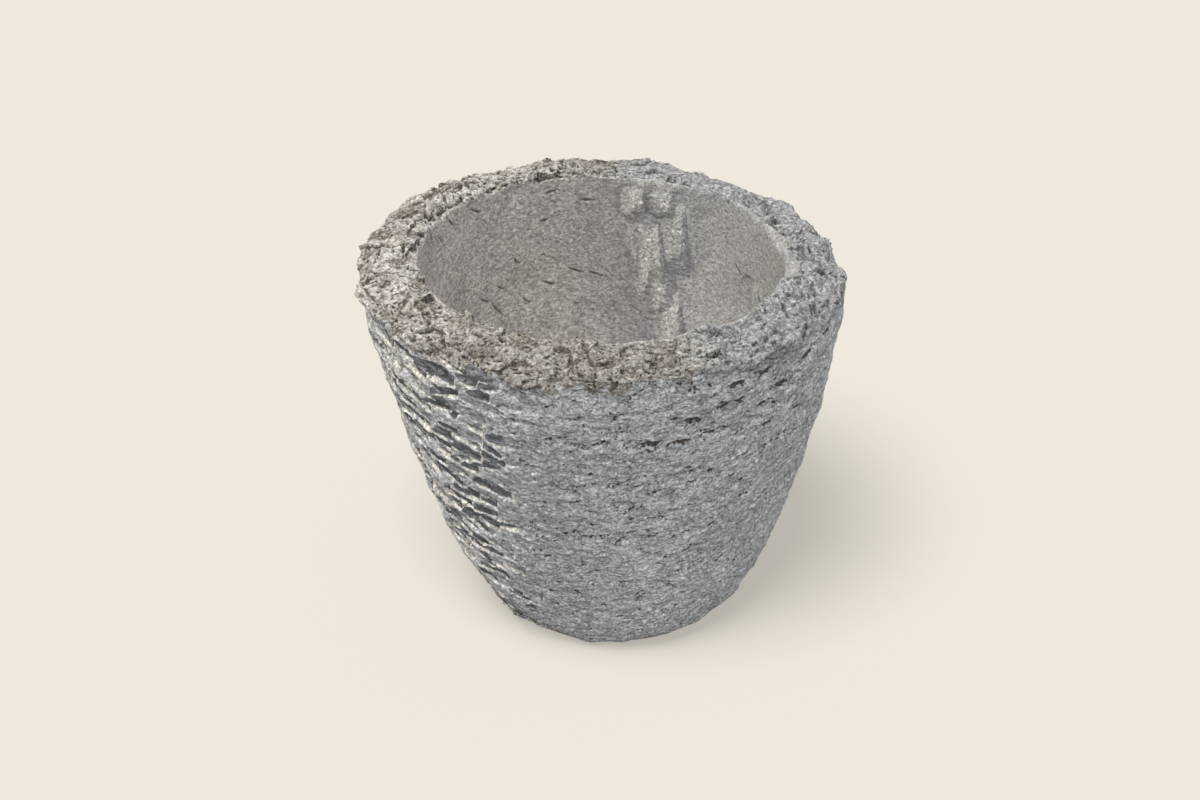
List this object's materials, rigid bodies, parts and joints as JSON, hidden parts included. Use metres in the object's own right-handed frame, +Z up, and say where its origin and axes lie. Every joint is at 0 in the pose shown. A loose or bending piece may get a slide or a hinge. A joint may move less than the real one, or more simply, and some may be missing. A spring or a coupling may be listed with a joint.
{
  "type": "stone planter",
  "caption": "Hand-dressed limestone planter: a tapered round vessel with a thick broken rim, a deep hollow for soil and a drain hole in its floor.",
  "frame": {"origin": "centre of the drain hole, on the plane of the flat underside", "axes": "+Z up, out of the mouth; -Y is the side that the picture shows; +X to the right in that view"},
  "size_m": [0.5612, 0.5543, 0.4596],
  "materials": {
    "limestone": "hand-dressed with a point chisel, dry and weathered"
  },
  "bodies": {
    "root": {"stone_vessel": "limestone"}
  },
  "joints": []
}
